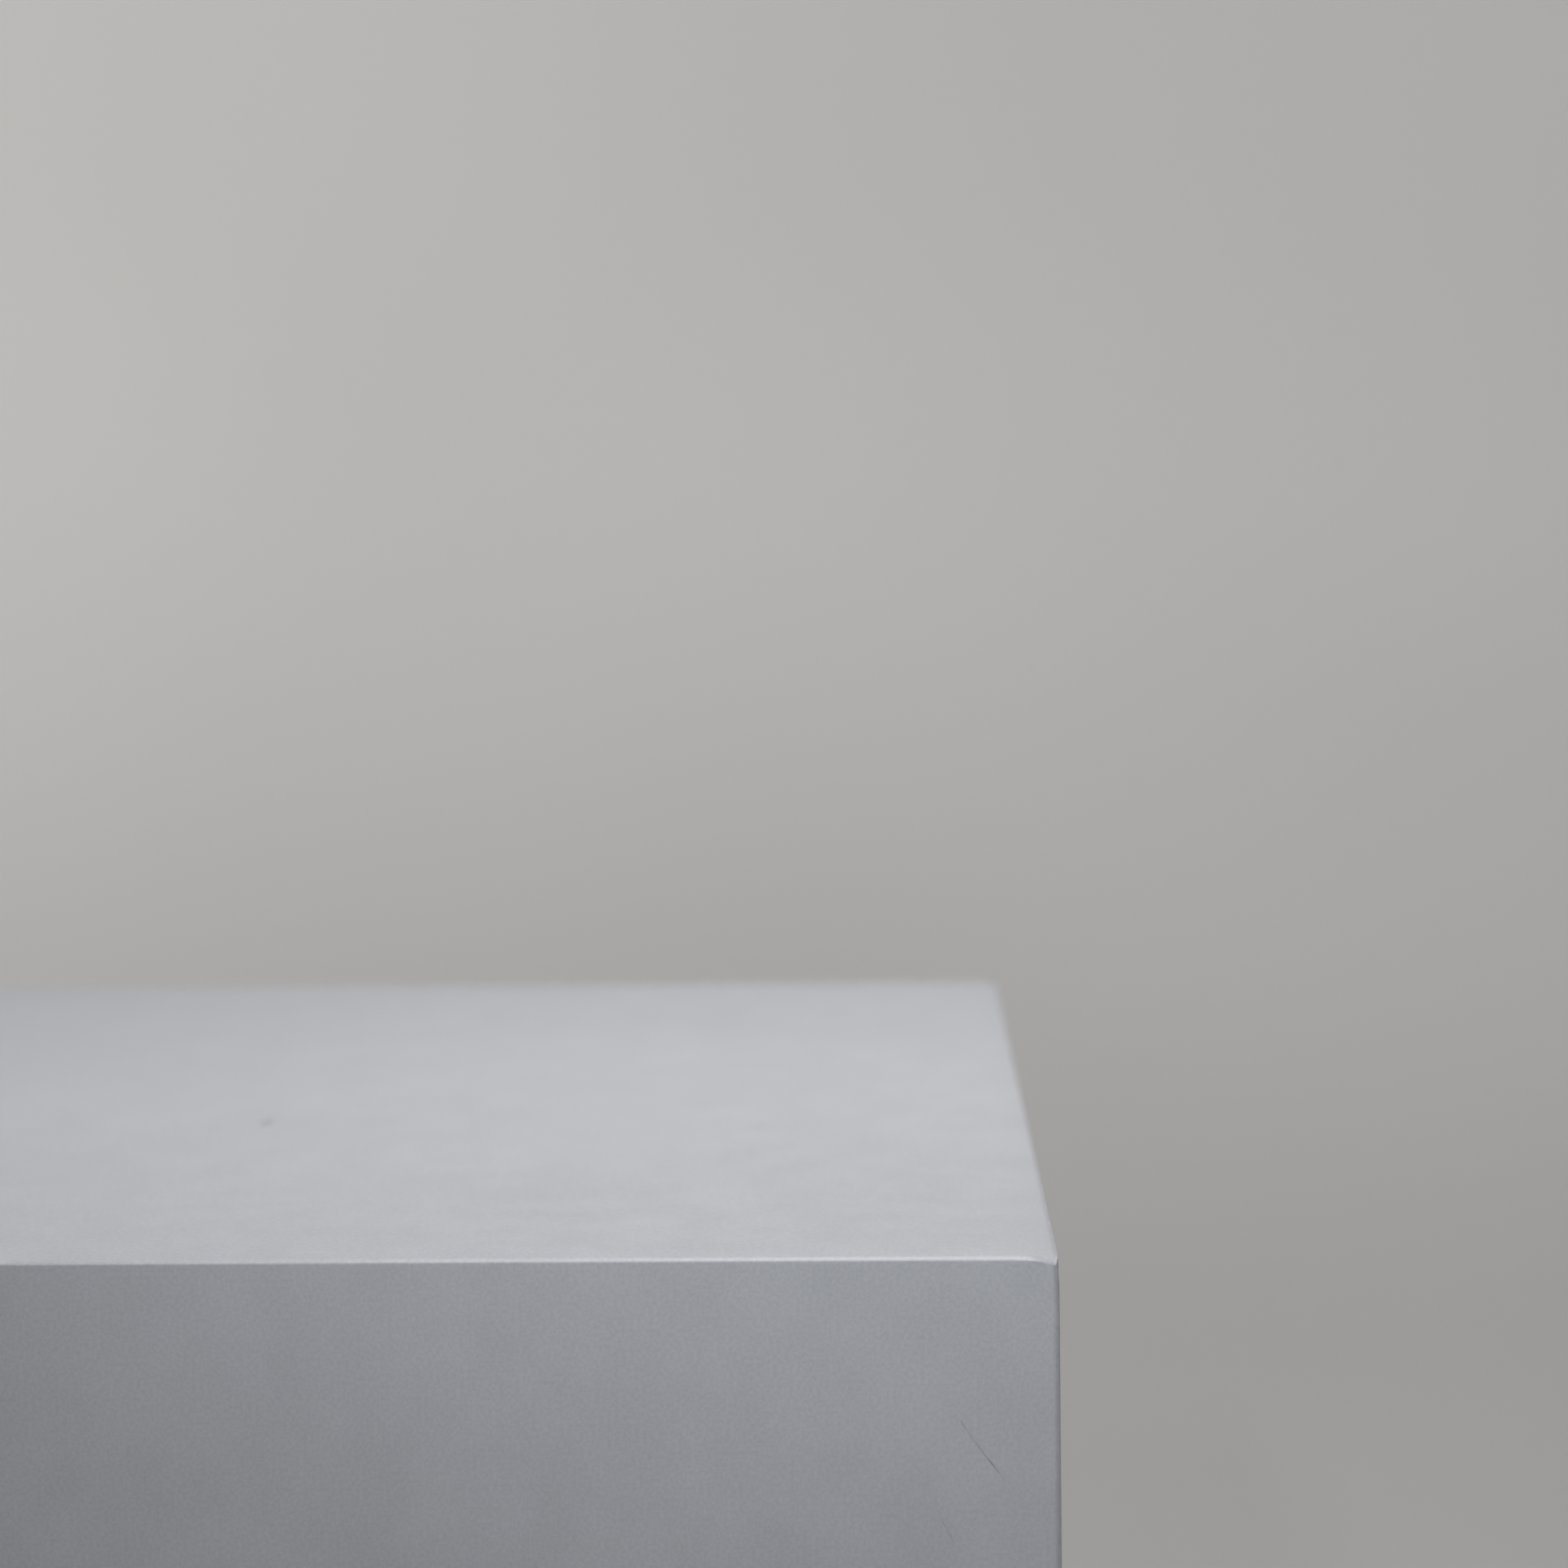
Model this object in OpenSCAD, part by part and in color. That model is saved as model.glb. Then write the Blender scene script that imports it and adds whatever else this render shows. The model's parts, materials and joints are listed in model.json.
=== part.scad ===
// Display plinth: a painted MDF box over a timber frame, standing on four screw levelling feet.
// Origin: middle of the plinth at floor level. +Z is up, the front faces -Y, +X is to the right.
// The feet are drawn at their middle setting, with the felt pads on the floor.

/* [Outer box] */
// Width, side to side
plinth_w = 600; // [400:10:900]
// Depth, front to back
plinth_d = 600; // [400:10:900]
// Height of the top face above the floor
plinth_h = 1000; // [800:10:1200]
// Shadow gap between the floor and the lower edge of the walls
floor_gap = 8; // [4:1:12]
// Radius of the eased outer edges
edge_r = 2; // [1:0.5:4]

/* [Panels] */
// Thickness of the MDF walls and top
panel_t = 18; // [18:1:22]
// Thickness of the plywood base board
base_t = 18; // [15:1:24]
// Thickness of the plywood stiffening shelf
shelf_t = 12; // [9:1:18]
// Diameter of the hand hole in the stiffening shelf
shelf_hole_d = 160; // [60:5:160]
// Width of the base board left around its square opening
base_border = 100; // [98:1:110]

/* [Timber frame] */
// Side of the square corner posts
post_side = 38; // [36:1:39]
// Height of the rails along the top and the base board
rail_h = 38; // [30:1:45]
// Thickness of those rails
rail_t = 18; // [15:1:25]
// Height of the cleats under the stiffening shelf
cleat_h = 25; // [20:1:38]
// Side of the square foot blocks
block_side = 90; // [90:1:94]
// Height of the foot blocks
block_h = 36; // [30:1:45]

/* [Levelling feet] */
// Nominal diameter of the metric screw stem
stem_d = 10; // [8:1:10]
// Diameter of the nylon foot pad
pad_d = 40; // [30:1:50]
// Thickness of the felt disc under the pad
felt_t = 2.5; // [2:0.5:3]
// Width across the flats of the adjusting nut on the stem
nut_flats = 14; // [13:1:17]
// Height of the adjusting nut
nut_h = 6; // [5:1:7]
// Gap between the adjusting nut and the tee nut above it
nut_gap = 9; // [8:1:14]

/* [Joints and screws] */
// Biscuits in each upright corner joint
wall_biscuits = 5; // [2:1:6]
// Biscuits in each joint between a wall and the top
top_biscuits_per_edge = 3; // [1:1:3]
// Screws through each post into each wall it touches
post_screw_count = 4; // [2:1:5]
// Screws through each rail or cleat into its wall
rail_screw_count = 3; // [2:1:3]

/* [Hidden] */
$fn = 64;

// The four walls are numbered round the box; wall k is the front wall turned by k quarter turns
FRONT = 0;
RIGHT = 1;
BACK = 2;
LEFT = 3;
SIDES = [FRONT, RIGHT, BACK, LEFT];
// The four corners, as the signs of their x and y
FRONT_LEFT = [-1, -1];
FRONT_RIGHT = [1, -1];
BACK_RIGHT = [1, 1];
BACK_LEFT = [-1, 1];
CORNERS = [FRONT_LEFT, FRONT_RIGHT, BACK_RIGHT, BACK_LEFT];
ENDS = [-1, 1];

// A cutter runs this far past the surface it opens
past = 1;

// Colours: satin grey paint, softwood, plywood, zinc plate, black nylon, felt and beech
paint_grey = [0.71, 0.715, 0.735];
softwood = [0.80, 0.66, 0.46];
plywood = [0.76, 0.63, 0.45];
zinc = [0.68, 0.69, 0.70];
nylon = [0.10, 0.10, 0.11];
felt_grey = [0.36, 0.36, 0.37];
beech = [0.74, 0.54, 0.36];

// Levelling foot, from the floor up
running_gap = 0.05;
axial_gap = 0.1;
felt_inset = 1;
felt_r = pad_d / 2 - felt_inset;
pad_sole_t = 2.5;
pad_lip_h = 3.5;
pad_h = 10.4;
pad_top = felt_t + pad_h;
pad_chamfer = 1.5;
pad_boss_r = 8.5;
socket_floor = felt_t + pad_sole_t;
bead_h = 2;
bead_step = 0.2;
bead_r = stem_d / 2 - bead_step;
neck_step = 1.25;
neck_r = stem_d / 2 - neck_step;
nut_bottom = pad_top + 2 * axial_gap;
nut_top = nut_bottom + nut_h;
tee_flange_t = 1.5;
tee_flange_r = 13;
tee_wall_t = 1;
tee_barrel_r = stem_d / 2 + tee_wall_t;
tee_barrel_h = 11;
prong_h = 7;
prong_w = 5;
prong_tip_w = 1.2;
prong_t = 1.2;
prong_r = 11;
stem_clearance = 0.5;
stem_clear_r = stem_d / 2 + stem_clearance;
slot_w = 1.6;
slot_h = 2.5;
stem_above_base = 8;
stem_chamfer = 1.2;

// Heights, from the floor up
block_bottom = nut_top + nut_gap + tee_flange_t;
base_bottom = block_bottom + block_h;
base_top = base_bottom + base_t;
post_top = plinth_h - panel_t;
stem_top = base_top + stem_above_base;
shelf_bottom = round((base_top + post_top) / 2);

// Clear size inside the walls, and the places of the foot axes
inner_w = plinth_w - 2 * panel_t;
inner_d = plinth_d - 2 * panel_t;
foot_x = inner_w / 2 - block_side / 2;
foot_y = inner_d / 2 - block_side / 2;

// Number 20 biscuits
biscuit_l = 56;
biscuit_w = 23;
biscuit_t = 4;
biscuit_r = (pow(biscuit_l, 2) + pow(biscuit_w, 2)) / (4 * biscuit_w);
// Distance of a biscuit from the outer corner, along the mitre
biscuit_in = 17;
biscuit_end_margin = 130;

// Countersunk wood screws
screw_r = 2;
screw_head_r = 4;
screw_head_h = 2.6;
screw_tip_h = 5;
recess_r = 1.5;
recess_h = 1.4;
// How far a screw bites into a wall, and into a deeper piece of timber
wall_bite = 12;
timber_bite = 42;
base_bite = 14;
shelf_bite = 18;
// Screws from the front and back are this much lower than those from the sides, so they cross clear
screw_stagger = 20;
screw_end_margin = 110;
rail_screw_margin = 50;
block_screw_in = 11;

// Length of wall k along the box, and the distance of its outer face from the middle
function wall_length(k) = k % 2 == 0 ? plinth_w : plinth_d;
function wall_out(k) = (k % 2 == 0 ? plinth_d : plinth_w) / 2;
function inner_length(k) = wall_length(k) - 2 * panel_t;
function inner_out(k) = wall_out(k) - panel_t;
function rail_length(k) = inner_length(k) - 2 * post_side;
// Upright screws stand at the quarter points of a rail, between the level ones
function upright_screw_x(k) = rail_length(k) / 4;

// n places spread evenly from -half to half
function spread(n, half) = [for (i = [0:n - 1]) -half + 2 * half * i / (n - 1)];
function middle_or_spread(n, half) = n == 1 ? [0] : spread(n, half);

// Heights of the screws that fix the posts to wall k
function post_screw_heights(k) =
    let (middle = (base_top + post_top) / 2,
         half = (post_top - base_top) / 2 - screw_end_margin)
    [for (z = spread(post_screw_count, half)) middle + z + (k % 2) * screw_stagger];

// ---------- Placing ----------

// Turns something made for the front wall to wall k
module on_side(k) {
    rotate([0, 0, 90 * k]) children();
}

// Mirrors something made for the back right corner into corner c
module in_corner(c) {
    mirror([c[0] < 0 ? 1 : 0, 0, 0])
        mirror([0, c[1] < 0 ? 1 : 0, 0])
            children();
}

// Moves something made about the origin to the axis of the foot in corner c
module at_foot(c) {
    translate([c[0] * foot_x, c[1] * foot_y, 0]) children();
}

// ---------- Screws and biscuits ----------

// A countersunk screw along +Z with its head's face at the origin; recess is the depth of its drive socket
module screw_shape(length, recess) {
    rotate_extrude()
        polygon([
            [0, recess], [recess_r, recess], [recess_r, 0], [screw_head_r, 0],
            [screw_r, screw_head_h], [screw_r, length - screw_tip_h], [0, length]
        ]);
}

// The hole that such a screw fills
module screw_hole(length) {
    rotate_extrude()
        polygon([
            [0, -past], [screw_head_r, -past], [screw_head_r, 0],
            [screw_r, screw_head_h], [screw_r, length - screw_tip_h], [0, length]
        ]);
}

// A screw, or its hole when cut is true
module screw(length, cut) {
    if (cut) screw_hole(length);
    else screw_shape(length, recess_h);
}

// A level screw made for the front wall, driven outwards from a piece that is depth thick
module wall_screw(k, x, z, depth, cut) {
    on_side(k)
        translate([x, depth - inner_out(k), z])
            rotate([90, 0, 0])
                screw(depth + wall_bite, cut);
}

module post_screw_set(k, cut) {
    for (side = ENDS)
        for (z = post_screw_heights(k))
            wall_screw(k, side * (inner_length(k) - post_side) / 2, z, post_side, cut);
}

module rail_screw_set(k, z, cut) {
    for (x = spread(rail_screw_count, rail_length(k) / 2 - rail_screw_margin))
        wall_screw(k, x, z, rail_t, cut);
}

// Screws up through a top rail into the top, or down through a bottom rail into the base board
module upright_screw_set(k, z, up, length, cut) {
    on_side(k)
        for (side = ENDS)
            translate([side * upright_screw_x(k), rail_t / 2 - inner_out(k), z])
                rotate([up ? 0 : 180, 0, 0])
                    screw(length, cut);
}

module top_rail_screw_set(k, cut) {
    rail_screw_set(k, post_top - rail_h / 2, cut);
    upright_screw_set(k, post_top - rail_h, true, rail_h + wall_bite, cut);
}

module bottom_rail_screw_set(k, cut) {
    rail_screw_set(k, base_top + rail_h / 2, cut);
    upright_screw_set(k, base_top + rail_h, false, rail_h + wall_bite, cut);
}

module cleat_screw_set(k, cut) {
    rail_screw_set(k, shelf_bottom - cleat_h / 2, cut);
}

module shelf_screw_set(k, cut) {
    upright_screw_set(k, shelf_bottom + shelf_t, false, shelf_t + shelf_bite, cut);
}

module post_foot_screw(c, cut) {
    in_corner(c)
        translate([(inner_w - post_side) / 2, (inner_d - post_side) / 2, base_bottom])
            screw(base_t + timber_bite, cut);
}

module block_screw_set(c, cut) {
    offset_in = block_side / 2 - block_screw_in;
    at_foot(c)
        for (x = ENDS, y = ENDS)
            translate([x * offset_in, y * offset_in, block_bottom])
                screw(block_h + base_bite, cut);
}

// A biscuit standing along Z, its flat sides facing Y: the shape shared by two discs
module biscuit() {
    rotate([90, 0, 0])
        intersection() {
            translate([biscuit_r - biscuit_w / 2, 0, -biscuit_t / 2])
                cylinder(r = biscuit_r, h = biscuit_t);
            translate([biscuit_w / 2 - biscuit_r, 0, -biscuit_t / 2])
                cylinder(r = biscuit_r, h = biscuit_t);
        }
}

// A biscuit across the mitre of an edge along Z, whose outer corner is at the origin and whose
// boards lie towards -X and +Y
module biscuit_in_mitre() {
    rotate([0, 0, 45])
        translate([0, biscuit_in, 0])
            biscuit();
}

// Biscuits in the upright joint at the right end of wall k
module corner_biscuit_set(k) {
    middle = (floor_gap + plinth_h) / 2;
    half = (plinth_h - floor_gap) / 2 - biscuit_end_margin;
    on_side(k)
        for (z = spread(wall_biscuits, half))
            translate([wall_length(k) / 2, -wall_out(k), middle + z])
                biscuit_in_mitre();
}

// Biscuits in the joint between wall k and the top
module top_biscuit_set(k) {
    on_side(k)
        for (x = middle_or_spread(top_biscuits_per_edge, wall_length(k) / 2 - biscuit_end_margin))
            translate([x, -wall_out(k), plinth_h])
                rotate([0, -90, 0])
                    biscuit_in_mitre();
}

// ---------- Panels ----------

// A rectangle w wide and h high, standing on the line y = 0, with its two upper corners rounded
module arched_outline(w, h) {
    translate([-w / 2, 0]) square([w, h - edge_r]);
    translate([edge_r - w / 2, 0]) square([w - 2 * edge_r, h]);
    for (x = ENDS)
        translate([x * (w / 2 - edge_r), h - edge_r]) circle(r = edge_r);
}

// A rectangle with all its corners rounded, centred
module rounded_outline(w, d) {
    square([w - 2 * edge_r, d], center = true);
    square([w, d - 2 * edge_r], center = true);
    for (x = ENDS, y = ENDS)
        translate([x * (w / 2 - edge_r), y * (d / 2 - edge_r)]) circle(r = edge_r);
}

// The whole outer form, with every outer edge eased, from the floor up
module outer_form() {
    intersection() {
        linear_extrude(height = plinth_h) rounded_outline(plinth_w, plinth_d);
        translate([0, plinth_d / 2 + past, 0])
            rotate([90, 0, 0])
                linear_extrude(height = plinth_d + 2 * past) arched_outline(plinth_w, plinth_h);
        translate([-plinth_w / 2 - past, 0, 0])
            rotate([90, 0, 90])
                linear_extrude(height = plinth_w + 2 * past) arched_outline(plinth_d, plinth_h);
    }
}

// The room that the front wall's board takes before its edges are eased, mitred on three sides
module wall_room(across, out) {
    inner_across = across / 2 - panel_t;
    intersection() {
        linear_extrude(height = plinth_h)
            polygon([
                [-across / 2, -out], [across / 2, -out],
                [inner_across, panel_t - out], [-inner_across, panel_t - out]
            ]);
        translate([-across / 2, 0, 0])
            rotate([90, 0, 90])
                linear_extrude(height = across)
                    polygon([
                        [-out, floor_gap], [panel_t - out, floor_gap],
                        [panel_t - out, plinth_h - panel_t], [-out, plinth_h]
                    ]);
    }
}

module wall_panel(k) {
    color(paint_grey)
        difference() {
            intersection() {
                outer_form();
                on_side(k) wall_room(wall_length(k), wall_out(k));
            }
            corner_biscuit_set(k);
            corner_biscuit_set((k + 3) % 4);
            top_biscuit_set(k);
            post_screw_set(k, true);
            top_rail_screw_set(k, true);
            cleat_screw_set(k, true);
            bottom_rail_screw_set(k, true);
        }
}

// The top is what is left above the four mitres
module top_room() {
    below = plinth_h - panel_t;
    intersection() {
        translate([0, plinth_d / 2, 0])
            rotate([90, 0, 0])
                linear_extrude(height = plinth_d)
                    polygon([
                        [-plinth_w / 2, plinth_h], [-inner_w / 2, below],
                        [inner_w / 2, below], [plinth_w / 2, plinth_h]
                    ]);
        translate([-plinth_w / 2, 0, 0])
            rotate([90, 0, 90])
                linear_extrude(height = plinth_w)
                    polygon([
                        [-plinth_d / 2, plinth_h], [-inner_d / 2, below],
                        [inner_d / 2, below], [plinth_d / 2, plinth_h]
                    ]);
    }
}

module top_panel() {
    color(paint_grey)
        difference() {
            intersection() {
                outer_form();
                top_room();
            }
            for (k = SIDES) {
                top_biscuit_set(k);
                top_rail_screw_set(k, true);
            }
        }
}

// ---------- Timber frame ----------

module post(c) {
    color(softwood)
        difference() {
            in_corner(c)
                translate([inner_w / 2 - post_side, inner_d / 2 - post_side, base_top])
                    cube([post_side, post_side, post_top - base_top]);
            for (k = SIDES) post_screw_set(k, true);
            post_foot_screw(c, true);
        }
}

// A bar against wall k, between the posts, thick by high, with its lower face at height z
module wall_bar(k, z, thick, high) {
    on_side(k)
        translate([-rail_length(k) / 2, -inner_out(k), z])
            cube([rail_length(k), thick, high]);
}

module top_rail(k) {
    color(softwood)
        difference() {
            wall_bar(k, post_top - rail_h, rail_t, rail_h);
            top_rail_screw_set(k, true);
        }
}

module bottom_rail(k) {
    color(softwood)
        difference() {
            wall_bar(k, base_top, rail_t, rail_h);
            bottom_rail_screw_set(k, true);
        }
}

module shelf_cleat(k) {
    color(softwood)
        difference() {
            wall_bar(k, shelf_bottom - cleat_h, rail_t, cleat_h);
            cleat_screw_set(k, true);
            shelf_screw_set(k, true);
        }
}

// The stiffening shelf is notched round the posts and has a hand hole in its middle
module stiffening_shelf() {
    notch = post_side + axial_gap;
    color(plywood)
        difference() {
            translate([-inner_w / 2, -inner_d / 2, shelf_bottom])
                cube([inner_w, inner_d, shelf_t]);
            for (c = CORNERS)
                in_corner(c)
                    translate([inner_w / 2 - notch, inner_d / 2 - notch, shelf_bottom - past])
                        cube([notch + past, notch + past, shelf_t + 2 * past]);
            translate([0, 0, shelf_bottom - past])
                cylinder(d = shelf_hole_d, h = shelf_t + 2 * past);
            for (k = SIDES) shelf_screw_set(k, true);
        }
}

// The base board fills the box and carries the posts; its square opening gives access to the inside
module base_board() {
    color(plywood)
        difference() {
            translate([-inner_w / 2, -inner_d / 2, base_bottom])
                cube([inner_w, inner_d, base_t]);
            translate([base_border - inner_w / 2, base_border - inner_d / 2, base_bottom - past])
                cube([inner_w - 2 * base_border, inner_d - 2 * base_border, base_t + 2 * past]);
            for (c = CORNERS) {
                at_foot(c)
                    translate([0, 0, base_bottom - past])
                        cylinder(r = stem_clear_r, h = base_t + 2 * past);
                post_foot_screw(c, true);
                block_screw_set(c, true);
            }
            for (k = SIDES) bottom_rail_screw_set(k, true);
        }
}

module foot_block(c) {
    color(softwood)
        difference() {
            at_foot(c)
                translate([-block_side / 2, -block_side / 2, block_bottom])
                    cube([block_side, block_side, block_h]);
            at_foot(c)
                translate([0, 0, block_bottom - past])
                    cylinder(r = stem_clear_r, h = block_h + 2 * past);
            at_foot(c)
                translate([0, 0, block_bottom - past])
                    cylinder(r = tee_barrel_r, h = tee_barrel_h + past);
            at_foot(c) tee_prongs();
            block_screw_set(c, true);
        }
}

// ---------- Levelling feet ----------

// The four pointed prongs that a tee nut drives up into its block
module tee_prongs() {
    for (turn = SIDES)
        rotate([0, 0, 90 * turn])
            translate([prong_r, 0, block_bottom])
                rotate([90, 0, 90])
                    linear_extrude(height = prong_t)
                        polygon([
                            [-prong_w / 2, 0], [prong_w / 2, 0],
                            [prong_tip_w / 2, prong_h], [-prong_tip_w / 2, prong_h]
                        ]);
}

module tee_nut() {
    rotate_extrude()
        polygon([
            [stem_d / 2, block_bottom - tee_flange_t], [tee_flange_r, block_bottom - tee_flange_t],
            [tee_flange_r, block_bottom], [tee_barrel_r, block_bottom],
            [tee_barrel_r, block_bottom + tee_barrel_h], [stem_d / 2, block_bottom + tee_barrel_h]
        ]);
    tee_prongs();
}

// The screw stem: a bead and neck held in the pad, the adjusting nut, then the thread up to a slot
module foot_stem(c) {
    thread_r = stem_d / 2 - running_gap;
    bead_bottom = socket_floor + axial_gap;
    color(zinc)
        at_foot(c)
            difference() {
                union() {
                    rotate_extrude()
                        polygon([
                            [0, bead_bottom], [bead_r, bead_bottom], [bead_r, bead_bottom + bead_h],
                            [neck_r, bead_bottom + bead_h], [neck_r, nut_bottom + axial_gap],
                            [thread_r, nut_bottom + axial_gap], [thread_r, stem_top - stem_chamfer],
                            [thread_r - stem_chamfer, stem_top], [0, stem_top]
                        ]);
                    translate([0, 0, nut_bottom])
                        cylinder(r = nut_flats / 2 / cos(30), h = nut_h, $fn = 6);
                }
                translate([-stem_d / 2 - past, -slot_w / 2, stem_top - slot_h])
                    cube([stem_d + 2 * past, slot_w, slot_h + past]);
            }
}

// The nylon pad: a chamfered disc with a boss, hollowed to hold the stem's bead
module foot_pad(c) {
    pad_r = pad_d / 2;
    chamber_top = socket_floor + bead_h + 2 * axial_gap;
    lip_top = felt_t + pad_lip_h;
    color(nylon)
        at_foot(c)
            rotate_extrude()
                polygon([
                    [0, felt_t], [pad_r - pad_chamfer, felt_t], [pad_r, felt_t + pad_chamfer],
                    [pad_r, lip_top], [pad_r - pad_chamfer, lip_top + pad_chamfer],
                    [pad_boss_r + pad_chamfer, lip_top + 2 * pad_chamfer],
                    [pad_boss_r, lip_top + 3 * pad_chamfer], [pad_boss_r, pad_top],
                    [neck_r + running_gap, pad_top], [neck_r + running_gap, chamber_top],
                    [bead_r + running_gap, chamber_top], [bead_r + running_gap, socket_floor],
                    [0, socket_floor]
                ]);
}

module foot_felt(c) {
    color(felt_grey)
        at_foot(c)
            cylinder(r = felt_r, h = felt_t);
}

// ---------- Groups of identical small parts ----------

module tee_nuts() {
    color(zinc)
        for (c = CORNERS) at_foot(c) tee_nut();
}

module corner_biscuits() {
    color(beech)
        for (k = SIDES) corner_biscuit_set(k);
}

module top_biscuits() {
    color(beech)
        for (k = SIDES) top_biscuit_set(k);
}

module post_screws() {
    color(zinc)
        for (k = SIDES) post_screw_set(k, false);
}

module post_foot_screws() {
    color(zinc)
        for (c = CORNERS) post_foot_screw(c, false);
}

module top_rail_screws() {
    color(zinc)
        for (k = SIDES) top_rail_screw_set(k, false);
}

module bottom_rail_screws() {
    color(zinc)
        for (k = SIDES) bottom_rail_screw_set(k, false);
}

module cleat_screws() {
    color(zinc)
        for (k = SIDES) cleat_screw_set(k, false);
}

module shelf_screws() {
    color(zinc)
        for (k = SIDES) shelf_screw_set(k, false);
}

module block_screws() {
    color(zinc)
        for (c = CORNERS) block_screw_set(c, false);
}

// ---------- Nodes ----------

top_panel();
wall_panel(FRONT);  // front_panel
wall_panel(RIGHT);  // right_panel
wall_panel(BACK);  // back_panel
wall_panel(LEFT);  // left_panel
post(FRONT_LEFT);  // post_front_left
post(FRONT_RIGHT);  // post_front_right
post(BACK_RIGHT);  // post_back_right
post(BACK_LEFT);  // post_back_left
top_rail(FRONT);  // top_rail_front
top_rail(RIGHT);  // top_rail_right
top_rail(BACK);  // top_rail_back
top_rail(LEFT);  // top_rail_left
shelf_cleat(FRONT);  // shelf_cleat_front
shelf_cleat(RIGHT);  // shelf_cleat_right
shelf_cleat(BACK);  // shelf_cleat_back
shelf_cleat(LEFT);  // shelf_cleat_left
stiffening_shelf();
bottom_rail(FRONT);  // bottom_rail_front
bottom_rail(RIGHT);  // bottom_rail_right
bottom_rail(BACK);  // bottom_rail_back
bottom_rail(LEFT);  // bottom_rail_left
base_board();
foot_block(FRONT_LEFT);  // foot_block_front_left
foot_block(FRONT_RIGHT);  // foot_block_front_right
foot_block(BACK_RIGHT);  // foot_block_back_right
foot_block(BACK_LEFT);  // foot_block_back_left
tee_nuts();
foot_stem(FRONT_LEFT);  // foot_stem_front_left
foot_stem(FRONT_RIGHT);  // foot_stem_front_right
foot_stem(BACK_RIGHT);  // foot_stem_back_right
foot_stem(BACK_LEFT);  // foot_stem_back_left
foot_pad(FRONT_LEFT);  // foot_pad_front_left
foot_pad(FRONT_RIGHT);  // foot_pad_front_right
foot_pad(BACK_RIGHT);  // foot_pad_back_right
foot_pad(BACK_LEFT);  // foot_pad_back_left
foot_felt(FRONT_LEFT);  // foot_felt_front_left
foot_felt(FRONT_RIGHT);  // foot_felt_front_right
foot_felt(BACK_RIGHT);  // foot_felt_back_right
foot_felt(BACK_LEFT);  // foot_felt_back_left
corner_biscuits();
top_biscuits();
post_screws();
post_foot_screws();
top_rail_screws();
bottom_rail_screws();
cleat_screws();
shelf_screws();
block_screws();
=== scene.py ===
"""A painted display plinth: its looks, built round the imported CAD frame."""

import json
import math
import random

import bmesh
import bpy
from mathutils import Matrix, Vector, noise

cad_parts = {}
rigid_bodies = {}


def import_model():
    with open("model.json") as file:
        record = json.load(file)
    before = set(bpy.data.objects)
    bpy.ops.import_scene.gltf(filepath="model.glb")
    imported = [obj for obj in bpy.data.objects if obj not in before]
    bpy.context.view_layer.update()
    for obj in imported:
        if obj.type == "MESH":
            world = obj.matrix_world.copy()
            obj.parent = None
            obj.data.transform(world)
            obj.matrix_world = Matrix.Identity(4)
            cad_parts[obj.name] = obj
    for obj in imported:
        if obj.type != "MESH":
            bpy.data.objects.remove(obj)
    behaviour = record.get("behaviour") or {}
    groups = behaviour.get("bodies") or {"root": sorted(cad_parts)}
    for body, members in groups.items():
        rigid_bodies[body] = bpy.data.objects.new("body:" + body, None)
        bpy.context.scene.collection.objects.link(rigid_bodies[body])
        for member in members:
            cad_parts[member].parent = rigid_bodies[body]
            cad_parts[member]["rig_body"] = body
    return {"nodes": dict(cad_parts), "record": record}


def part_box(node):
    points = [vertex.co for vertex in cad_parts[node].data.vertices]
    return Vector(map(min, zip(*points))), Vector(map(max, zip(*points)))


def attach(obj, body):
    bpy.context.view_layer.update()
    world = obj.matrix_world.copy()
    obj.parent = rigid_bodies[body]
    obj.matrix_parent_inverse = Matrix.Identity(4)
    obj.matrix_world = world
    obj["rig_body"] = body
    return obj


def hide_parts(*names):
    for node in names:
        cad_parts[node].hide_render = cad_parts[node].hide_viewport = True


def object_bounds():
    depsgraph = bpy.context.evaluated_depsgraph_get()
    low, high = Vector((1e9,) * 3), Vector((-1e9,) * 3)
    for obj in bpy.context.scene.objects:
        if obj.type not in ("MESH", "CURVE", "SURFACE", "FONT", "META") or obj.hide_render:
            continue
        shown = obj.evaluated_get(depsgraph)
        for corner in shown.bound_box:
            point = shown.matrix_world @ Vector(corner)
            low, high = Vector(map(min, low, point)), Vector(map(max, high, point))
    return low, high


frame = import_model()
CAD_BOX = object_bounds()

# ---------- Sizes in metres, the box's from the frame and the rest given ---

MM = 0.001
LOW, HIGH = CAD_BOX
HALF_W = (HIGH.x - LOW.x) / 2
HALF_D = (HIGH.y - LOW.y) / 2
TOP = HIGH.z
WALL_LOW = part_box("front_panel")[0].z
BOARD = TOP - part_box("top_panel")[0].z
CORNER = Vector((HALF_W, -HALF_D, TOP))  # the upper front right corner

# The outer edges are rounded, and the walls' lower outer edge is only broken with sandpaper
EDGE_R = 1.6 * MM
LOWER_EASE = 0.8 * MM
# Long sanding strokes let the top fall away slightly towards its edges
FALL_DEPTH = 0.85 * MM
FALL_REACH = 15 * MM
# They also take each upper corner down a little, over less depth than width
CORNER_DROP = 1.7 * MM
CORNER_REACH = 8 * MM
CORNER_SQUEEZE = 1.7
# How unevenly the edges were sanded, and how far apart the uneven places are
SANDING_DEPTH = 0.16 * MM
SANDING_SPACING = 55 * MM

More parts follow.
